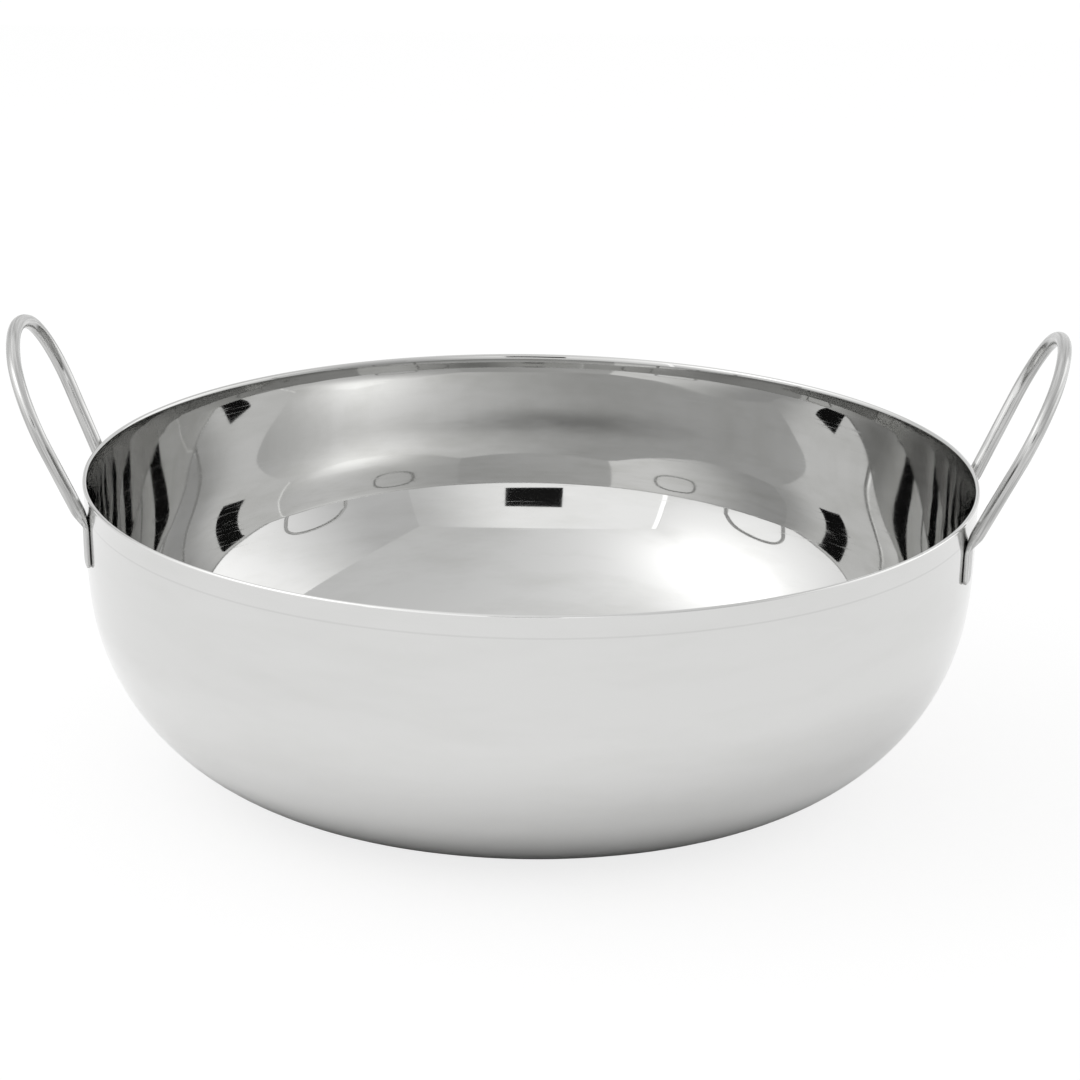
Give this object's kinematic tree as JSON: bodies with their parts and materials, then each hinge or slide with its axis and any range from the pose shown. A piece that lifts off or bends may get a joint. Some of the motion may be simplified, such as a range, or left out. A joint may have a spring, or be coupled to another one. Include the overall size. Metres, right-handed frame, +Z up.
{
  "type": "kadai",
  "caption": "Deep round steel cooking bowl with a flat base, an upright wall and welded upright loop handles of round rod on opposite sides.",
  "frame": {"origin": "centre of the flat base's underside, on the surface that the bowl stands on", "axes": "+Z up along the bowl's axis, +X towards the right-hand handle, the two handles standing at the ends of the X axis, the pictured front towards -Y"},
  "size_m": [0.4247, 0.36, 0.1885],
  "materials": {
    "bowl_steel": "stainless steel sheet, mirror polished, with faint turned polishing lines",
    "handle_steel": "stainless steel rod, buffed bright, with a softer shine than the bowl"
  },
  "bodies": {
    "root": {"bowl": "bowl_steel", "handle_left": "handle_steel", "handle_right": "handle_steel"}
  },
  "joints": []
}
